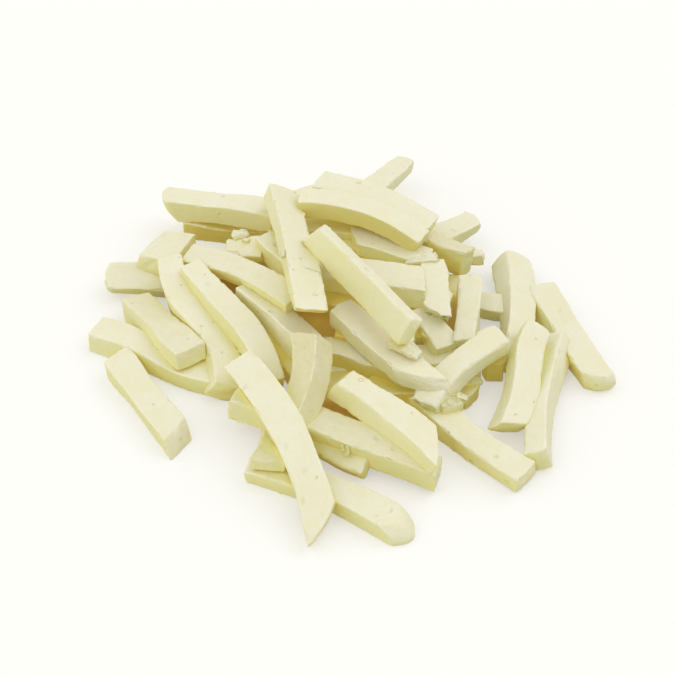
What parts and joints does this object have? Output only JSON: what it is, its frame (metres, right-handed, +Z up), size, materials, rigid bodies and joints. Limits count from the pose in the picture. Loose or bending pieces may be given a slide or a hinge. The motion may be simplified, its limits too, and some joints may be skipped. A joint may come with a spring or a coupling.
{
  "type": "heap of cut mozzarella strips",
  "caption": "Loose heap of fresh mozzarella cut into thick pale cream strips, straight and slightly bent, lying crossed over one another.",
  "frame": {"origin": "middle of the heap's outline on the table, at table height", "axes": "+Z up; -Y to the front, where the long strips point down and out; +X to the right as seen from the front"},
  "size_m": [0.1658, 0.1762, 0.0344],
  "materials": {
    "cheese": "moist pale cream cheese, smooth knife-cut faces with faint pits and torn ends, soft satin sheen"
  },
  "bodies": {
    "root": {"heap": "cheese"}
  },
  "joints": []
}
